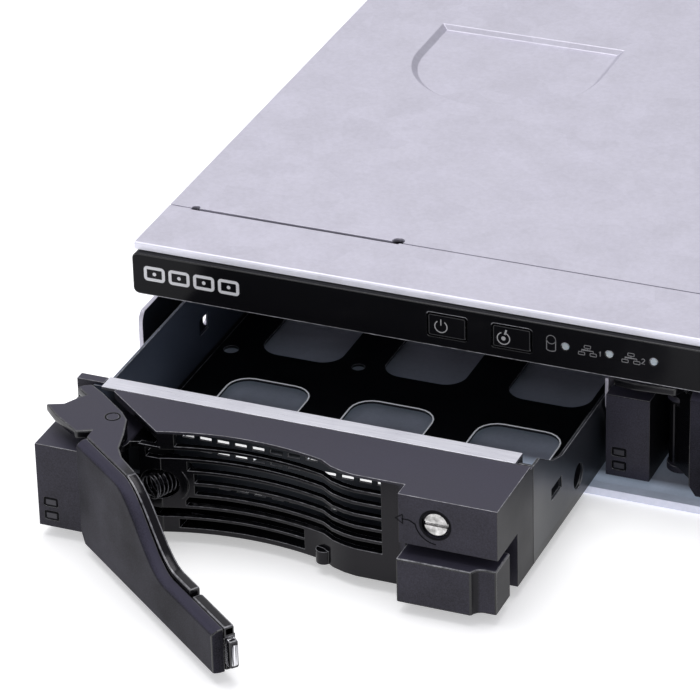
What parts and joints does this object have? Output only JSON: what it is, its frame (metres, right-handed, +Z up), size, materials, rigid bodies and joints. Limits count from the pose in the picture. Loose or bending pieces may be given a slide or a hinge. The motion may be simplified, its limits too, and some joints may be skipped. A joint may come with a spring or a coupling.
{
  "type": "network attached storage",
  "caption": "Flat rack-mount storage unit with slide-out drive trays, swinging latch levers, a glossy control strip and a sliding steel top cover.",
  "frame": {"origin": "centre of the casing's underside", "axes": "+X to the right seen from the front, +Y from the front bezel to the rear, +Z up"},
  "size_m": [0.439, 0.5969, 0.0435],
  "materials": {
    "galvanised_steel": "pale galvanised sheet",
    "gloss_black": "gloss",
    "lamp_lens": "frosted",
    "circuit_board": "solder mask",
    "black_plastic": "matte",
    "bare_aluminium": "milled",
    "nickel": "nickel plated",
    "dark_steel": "black coated",
    "charcoal_plastic": "fine moulded grain",
    "bright_trim": "fine brushed",
    "smoked_clear": "satin",
    "spring_steel": "dark drawn wire"
  },
  "bodies": {
    "chassis": {"chassis_base": "galvanised_steel", "bay_cage": "galvanised_steel", "front_top_panel": "galvanised_steel", "front_bezel": "gloss_black", "status_lenses": "lamp_lens", "backplane": "circuit_board", "fan_frames": "black_plastic", "mainboard": "circuit_board", "heat_sink": "bare_aluminium", "memory_module": "circuit_board", "rear_ports": "nickel", "psu_case": "galvanised_steel", "mains_inlet": "black_plastic"},
    "lid": {"lid": "galvanised_steel", "cover_screws": "nickel"},
    "power_button": {"power_button": "gloss_black"},
    "locate_button": {"locate_button": "gloss_black"},
    "fan_rotor_1": {"fan_rotor_1": "black_plastic"},
    "fan_rotor_2": {"fan_rotor_2": "black_plastic"},
    "fan_rotor_3": {"fan_rotor_3": "black_plastic"},
    "tray_1": {"tray_1_carrier": "dark_steel", "tray_1_front": "charcoal_plastic", "tray_1_trim_strip": "bright_trim", "tray_1_light_pipe": "smoked_clear", "tray_1_pivot_pin": "charcoal_plastic", "tray_1_lever_spring": "spring_steel"},
    "lever_1": {"tray_1_hook_arm": "charcoal_plastic", "tray_1_lever_cover": "charcoal_plastic"},
    "release_1": {"tray_1_release_button": "charcoal_plastic"},
    "lock_1": {"tray_1_lock_screw": "nickel"},
    "tray_2": {"tray_2_carrier": "dark_steel", "tray_2_front": "charcoal_plastic", "tray_2_trim_strip": "bright_trim", "tray_2_light_pipe": "smoked_clear", "tray_2_pivot_pin": "charcoal_plastic", "tray_2_lever_spring": "spring_steel"},
    "lever_2": {"tray_2_hook_arm": "charcoal_plastic", "tray_2_lever_cover": "charcoal_plastic"},
    "release_2": {"tray_2_release_button": "charcoal_plastic"},
    "lock_2": {"tray_2_lock_screw": "nickel"},
    "tray_3": {"tray_3_carrier": "dark_steel", "tray_3_front": "charcoal_plastic", "tray_3_trim_strip": "bright_trim", "tray_3_light_pipe": "smoked_clear", "tray_3_pivot_pin": "charcoal_plastic", "tray_3_lever_spring": "spring_steel"},
    "lever_3": {"tray_3_hook_arm": "charcoal_plastic", "tray_3_lever_cover": "charcoal_plastic"},
    "release_3": {"tray_3_release_button": "charcoal_plastic"},
    "lock_3": {"tray_3_lock_screw": "nickel"},
    "tray_4": {"tray_4_carrier": "dark_steel", "tray_4_front": "charcoal_plastic", "tray_4_trim_strip": "bright_trim", "tray_4_light_pipe": "smoked_clear", "tray_4_pivot_pin": "charcoal_plastic", "tray_4_lever_spring": "spring_steel"},
    "lever_4": {"tray_4_hook_arm": "charcoal_plastic", "tray_4_lever_cover": "charcoal_plastic"},
    "release_4": {"tray_4_release_button": "charcoal_plastic"},
    "lock_4": {"tray_4_lock_screw": "nickel"}
  },
  "joints": [
    {"name": "lid_slide", "type": "slide", "parent": "chassis", "child": "lid", "axis": [0, 1, 0], "range_m": [0, 0.012]},
    {"name": "power_button_press", "type": "slide", "parent": "chassis", "child": "power_button", "axis": [0, 1, 0], "range_m": [0, 0.0008], "stiffness_N_per_m": 500},
    {"name": "locate_button_press", "type": "slide", "parent": "chassis", "child": "locate_button", "axis": [0, 1, 0], "range_m": [0, 0.0008], "stiffness_N_per_m": 500},
    {"name": "fan_1_spin", "type": "hinge", "parent": "chassis", "child": "fan_rotor_1", "pos_m": [-0.156, -0.0395, 0.0216], "axis": [0, 1, 0], "continuous": true},
    {"name": "fan_2_spin", "type": "hinge", "parent": "chassis", "child": "fan_rotor_2", "pos_m": [-0.06, -0.0395, 0.0216], "axis": [0, 1, 0], "continuous": true},
    {"name": "fan_3_spin", "type": "hinge", "parent": "chassis", "child": "fan_rotor_3", "pos_m": [0.036, -0.0395, 0.0216], "axis": [0, 1, 0], "continuous": true},
    {"name": "tray_1_slide", "type": "slide", "parent": "chassis", "child": "tray_1", "axis": [0, -1, 0], "range_m": [-0.0628, 0.0872]},
    {"name": "lever_1_swing", "type": "hinge", "parent": "tray_1", "child": "lever_1", "pos_m": [-0.2027, -0.2968, 0.015], "axis": [0, 0, -1], "range_deg": [-38.4, 3.6]},
    {"name": "release_1_press", "type": "slide", "parent": "tray_1", "child": "release_1", "axis": [0, 1, 0], "range_m": [0, 0.0024], "stiffness_N_per_m": 500},
    {"name": "lock_1_turn", "type": "hinge", "parent": "tray_1", "child": "lock_1", "pos_m": [-0.1241, -0.3009, 0.0217], "axis": [0, -1, 0], "range_deg": [0, 90]},
    {"name": "tray_2_slide", "type": "slide", "parent": "chassis", "child": "tray_2", "axis": [0, -1, 0], "range_m": [0, 0.15]},
    {"name": "lever_2_swing", "type": "hinge", "parent": "tray_2", "child": "lever_2", "pos_m": [-0.0935, -0.234, 0.015], "axis": [0, 0, -1], "range_deg": [0, 42]},
    {"name": "release_2_press", "type": "slide", "parent": "tray_2", "child": "release_2", "axis": [0, 1, 0], "range_m": [0, 0.0024], "stiffness_N_per_m": 500},
    {"name": "lock_2_turn", "type": "hinge", "parent": "tray_2", "child": "lock_2", "pos_m": [-0.0149, -0.2381, 0.0217], "axis": [0, -1, 0], "range_deg": [0, 90]},
    {"name": "tray_3_slide", "type": "slide", "parent": "chassis", "child": "tray_3", "axis": [0, -1, 0], "range_m": [0, 0.15]},
    {"name": "lever_3_swing", "type": "hinge", "parent": "tray_3", "child": "lever_3", "pos_m": [0.0157, -0.234, 0.015], "axis": [0, 0, -1], "range_deg": [0, 42]},
    {"name": "release_3_press", "type": "slide", "parent": "tray_3", "child": "release_3", "axis": [0, 1, 0], "range_m": [0, 0.0024], "stiffness_N_per_m": 500},
    {"name": "lock_3_turn", "type": "hinge", "parent": "tray_3", "child": "lock_3", "pos_m": [0.0943, -0.2381, 0.0217], "axis": [0, -1, 0], "range_deg": [0, 90]},
    {"name": "tray_4_slide", "type": "slide", "parent": "chassis", "child": "tray_4", "axis": [0, -1, 0], "range_m": [0, 0.15]},
    {"name": "lever_4_swing", "type": "hinge", "parent": "tray_4", "child": "lever_4", "pos_m": [0.1249, -0.234, 0.015], "axis": [0, 0, -1], "range_deg": [0, 42]},
    {"name": "release_4_press", "type": "slide", "parent": "tray_4", "child": "release_4", "axis": [0, 1, 0], "range_m": [0, 0.0024], "stiffness_N_per_m": 500},
    {"name": "lock_4_turn", "type": "hinge", "parent": "tray_4", "child": "lock_4", "pos_m": [0.2035, -0.2381, 0.0217], "axis": [0, -1, 0], "range_deg": [0, 90]}
  ]
}
